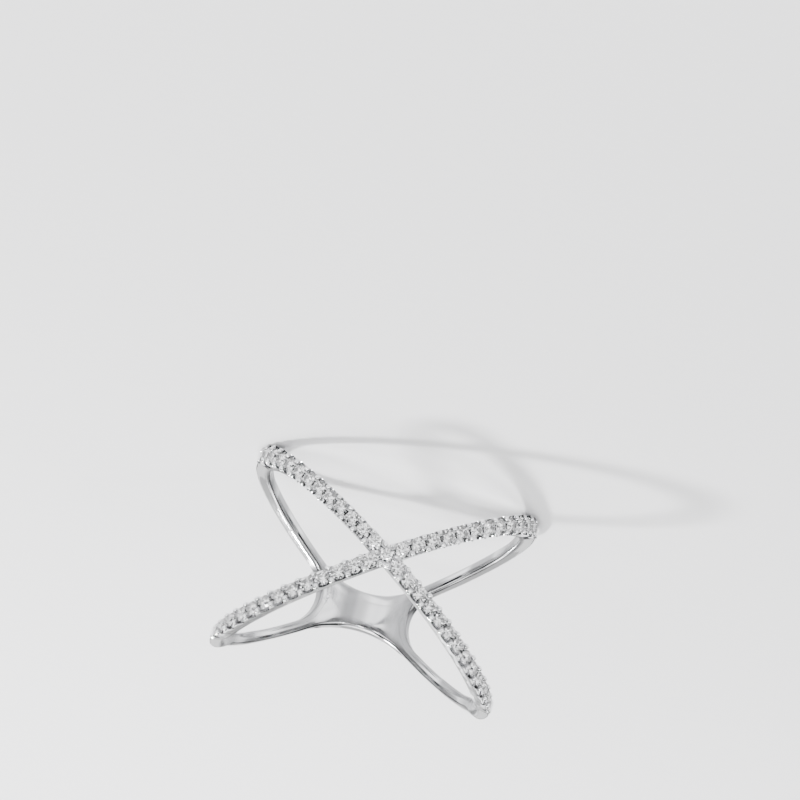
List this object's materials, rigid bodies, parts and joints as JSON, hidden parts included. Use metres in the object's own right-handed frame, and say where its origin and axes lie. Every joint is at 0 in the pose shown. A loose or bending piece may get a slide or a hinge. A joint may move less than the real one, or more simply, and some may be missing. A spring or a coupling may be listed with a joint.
{
  "type": "cross ring",
  "caption": "Finger ring whose bands cross in an X of small round stones at the front and join in a plain polished plate at the back.",
  "frame": {"origin": "middle of the finger hole, on the surface that the ring lies on", "axes": "+Z along the finger axis and up, -Y towards the crossing set with stones, +Y towards the back plate, X to the sides"},
  "size_m": [0.0194, 0.0194, 0.0134],
  "materials": {
    "metal": "polished white metal",
    "stone": "clear cut stone"
  },
  "bodies": {
    "root": {"band": "metal", "stones": "stone"}
  },
  "joints": []
}
